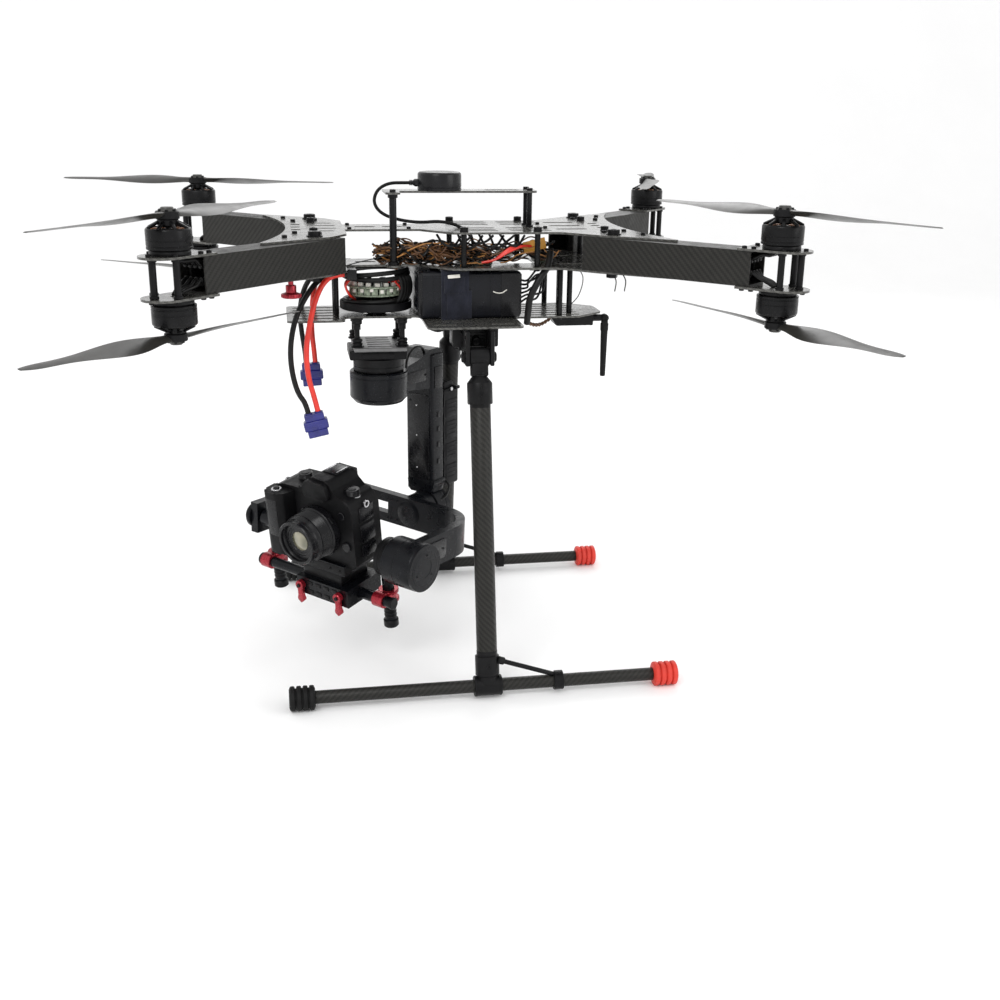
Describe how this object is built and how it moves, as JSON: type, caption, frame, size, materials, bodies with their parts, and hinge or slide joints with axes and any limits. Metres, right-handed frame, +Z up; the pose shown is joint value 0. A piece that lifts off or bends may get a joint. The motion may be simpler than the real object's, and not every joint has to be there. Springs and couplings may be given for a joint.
{
  "type": "folding camera drone",
  "caption": "Heavy-lift drone with coaxial rotors on square carbon folding arms, retracting landing legs, and a camera held in a three-axis gimbal under the frame.",
  "frame": {"origin": "on the floor under the middle of the aircraft, at the bottom centre of its box", "axes": "-X nose, +X tail, +Z up; the motors lie symmetrically about both axes"},
  "size_m": [1.0184, 0.8798, 0.6115],
  "materials": {
    "carbon_weave": "satin woven carbon",
    "carbon_plate": "satin carbon sheet",
    "motor_black": "black anodised",
    "propeller_grey": "polished carbon",
    "black_steel": "black oxide",
    "black_metal": "satin black",
    "black_plastic": "satin",
    "black_rubber": "matte",
    "battery_wrap": "satin",
    "strap_webbing": "hook-and-loop fabric",
    "circuit_green": "solder mask",
    "red_silicone": "satin",
    "blue_plastic": "moulded",
    "gimbal_black": "satin black",
    "red_anodised": "anodised",
    "camera_black": "textured",
    "lens_black": "satin",
    "red_rubber": "matte",
    "lens_glass": "coated glass",
    "steel": "polished",
    "orange_wire": "satin",
    "brown_wire": "satin",
    "white_plastic": "satin"
  },
  "bodies": {
    "airframe": {"top_plate": "carbon_plate", "middle_plate": "carbon_plate", "lower_deck": "carbon_plate", "frame_posts": "black_steel", "gps_platform": "carbon_plate", "gps_puck": "black_plastic", "gps_cable": "black_rubber", "battery_pack": "battery_wrap", "battery_strap": "strap_webbing", "cable_tray": "black_plastic", "circuit_boards": "circuit_green", "video_transmitter": "black_metal", "retract_housings": "black_metal", "gimbal_hanger": "black_metal", "red_lead_front": "red_silicone", "black_lead_front": "black_rubber", "red_lead_rear": "red_silicone", "black_lead_rear": "black_rubber", "front_connector": "blue_plastic", "rear_connector": "blue_plastic"},
    "front_left_arm_body": {"front_left_arm": "carbon_weave", "front_left_motor_mount": "carbon_plate"},
    "front_right_arm_body": {"front_right_arm": "carbon_weave", "front_right_motor_mount": "carbon_plate"},
    "back_left_arm_body": {"back_left_arm": "carbon_weave", "back_left_motor_mount": "carbon_plate"},
    "back_right_arm_body": {"back_right_arm": "carbon_weave", "back_right_motor_mount": "carbon_plate"},
    "front_left_top_rotor": {"front_left_top_bell": "motor_black", "front_left_top_propeller": "propeller_grey"},
    "front_left_bottom_rotor": {"front_left_bottom_bell": "motor_black", "front_left_bottom_propeller": "propeller_grey"},
    "front_right_top_rotor": {"front_right_top_bell": "motor_black", "front_right_top_propeller": "propeller_grey"},
    "front_right_bottom_rotor": {"front_right_bottom_bell": "motor_black", "front_right_bottom_propeller": "propeller_grey"},
    "back_left_top_rotor": {"back_left_top_bell": "motor_black", "back_left_top_propeller": "propeller_grey"},
    "back_left_bottom_rotor": {"back_left_bottom_bell": "motor_black", "back_left_bottom_propeller": "propeller_grey"},
    "back_right_top_rotor": {"back_right_top_bell": "motor_black", "back_right_top_propeller": "propeller_grey"},
    "back_right_bottom_rotor": {"back_right_bottom_bell": "motor_black", "back_right_bottom_propeller": "propeller_grey"},
    "front_gear": {"front_leg": "carbon_weave", "front_skid": "carbon_weave"},
    "rear_gear": {"rear_leg": "carbon_weave", "rear_skid": "carbon_weave"},
    "gimbal_pan": {"pan_column": "gimbal_black", "gimbal_battery": "black_plastic"},
    "gimbal_roll": {"roll_arm": "gimbal_black"},
    "gimbal_tilt": {"camera_cage": "gimbal_black", "cage_clamps": "red_anodised", "camera_body": "camera_black", "camera_lens": "lens_black"},
    "left_lever": {"clamp_lever_left": "red_anodised"},
    "right_lever": {"clamp_lever_right": "red_anodised"},
    "shutter": {"shutter_button": "black_plastic"},
    "whip": {"antenna_whip": "black_rubber"},
    "lock_screw": {"arm_lock_knob": "red_anodised"}
  },
  "joints": [
    {"name": "front_left_arm_fold", "type": "hinge", "parent": "airframe", "child": "front_left_arm_body", "pos_m": [-0.176, -0.10474, 0.523], "axis": [0, 0, -1], "range_deg": [0, 46]},
    {"name": "front_right_arm_fold", "type": "hinge", "parent": "airframe", "child": "front_right_arm_body", "pos_m": [0.176, -0.10474, 0.523], "axis": [0, 0, 1], "range_deg": [0, 46]},
    {"name": "back_left_arm_fold", "type": "hinge", "parent": "airframe", "child": "back_left_arm_body", "pos_m": [-0.176, 0.10474, 0.523], "axis": [0, 0, 1], "range_deg": [0, 46]},
    {"name": "back_right_arm_fold", "type": "hinge", "parent": "airframe", "child": "back_right_arm_body", "pos_m": [0.176, 0.10474, 0.523], "axis": [0, 0, -1], "range_deg": [0, 46]},
    {"name": "front_left_top_spin", "type": "hinge", "parent": "front_left_arm_body", "child": "front_left_top_rotor", "pos_m": [-0.324, -0.258, 0.523], "axis": [0, 0, 1], "continuous": true},
    {"name": "front_left_bottom_spin", "type": "hinge", "parent": "front_left_arm_body", "child": "front_left_bottom_rotor", "pos_m": [-0.324, -0.258, 0.523], "axis": [0, 0, 1], "continuous": true},
    {"name": "front_right_top_spin", "type": "hinge", "parent": "front_right_arm_body", "child": "front_right_top_rotor", "pos_m": [0.324, -0.258, 0.523], "axis": [0, 0, 1], "continuous": true},
    {"name": "front_right_bottom_spin", "type": "hinge", "parent": "front_right_arm_body", "child": "front_right_bottom_rotor", "pos_m": [0.324, -0.258, 0.523], "axis": [0, 0, 1], "continuous": true},
    {"name": "back_left_top_spin", "type": "hinge", "parent": "back_left_arm_body", "child": "back_left_top_rotor", "pos_m": [-0.324, 0.258, 0.523], "axis": [0, 0, 1], "continuous": true},
    {"name": "back_left_bottom_spin", "type": "hinge", "parent": "back_left_arm_body", "child": "back_left_bottom_rotor", "pos_m": [-0.324, 0.258, 0.523], "axis": [0, 0, 1], "continuous": true},
    {"name": "back_right_top_spin", "type": "hinge", "parent": "back_right_arm_body", "child": "back_right_top_rotor", "pos_m": [0.324, 0.258, 0.523], "axis": [0, 0, 1], "continuous": true},
    {"name": "back_right_bottom_spin", "type": "hinge", "parent": "back_right_arm_body", "child": "back_right_bottom_rotor", "pos_m": [0.324, 0.258, 0.523], "axis": [0, 0, 1], "continuous": true},
    {"name": "front_gear_retract", "type": "hinge", "parent": "airframe", "child": "front_gear", "pos_m": [0.012, -0.122, 0.405], "axis": [-1, 0, 0], "range_deg": [0, 72]},
    {"name": "rear_gear_retract", "type": "hinge", "parent": "airframe", "child": "rear_gear", "pos_m": [0.012, 0.122, 0.405], "axis": [1, 0, 0], "range_deg": [0, 72]},
    {"name": "gimbal_pan_turn", "type": "hinge", "parent": "airframe", "child": "gimbal_pan", "pos_m": [-0.098, 0, 0.35], "axis": [0, 0, 1], "range_deg": [-145, 55]},
    {"name": "gimbal_roll_turn", "type": "hinge", "parent": "gimbal_pan", "child": "gimbal_roll", "pos_m": [-0.03436, 0.06364, 0.156], "axis": [-0.7071, -0.7071, 0], "range_deg": [-22.8, 27.2]},
    {"name": "gimbal_tilt_turn", "type": "hinge", "parent": "gimbal_roll", "child": "gimbal_tilt", "pos_m": [-0.15457, -0.05657, 0.156], "axis": [0.7066, -0.7066, -0.0384], "range_deg": [-38, 82]},
    {"name": "left_lever_open", "type": "hinge", "parent": "gimbal_tilt", "child": "left_lever", "pos_m": [-0.2081, -0.06042, 0.10111], "axis": [0.704, 0.6964, 0.1391], "range_deg": [0, 90]},
    {"name": "right_lever_open", "type": "hinge", "parent": "gimbal_tilt", "child": "right_lever", "pos_m": [-0.16288, -0.10564, 0.09866], "axis": [-0.704, -0.6964, -0.1391], "range_deg": [0, 90]},
    {"name": "shutter_press", "type": "slide", "parent": "gimbal_tilt", "child": "shutter", "axis": [0.0715, 0.1253, -0.9895], "range_m": [0, 0.0015], "stiffness_N_per_m": 400, "springref_m": -0.0005},
    {"name": "whip_elbow", "type": "hinge", "parent": "airframe", "child": "whip", "pos_m": [0.195, -0.009, 0.4295], "axis": [0, -1, 0], "range_deg": [0, 90]},
    {"name": "lock_screw_out", "type": "slide", "parent": "airframe", "child": "lock_screw", "axis": [0, 0, -1], "range_m": [0, 0.008]}
  ]
}
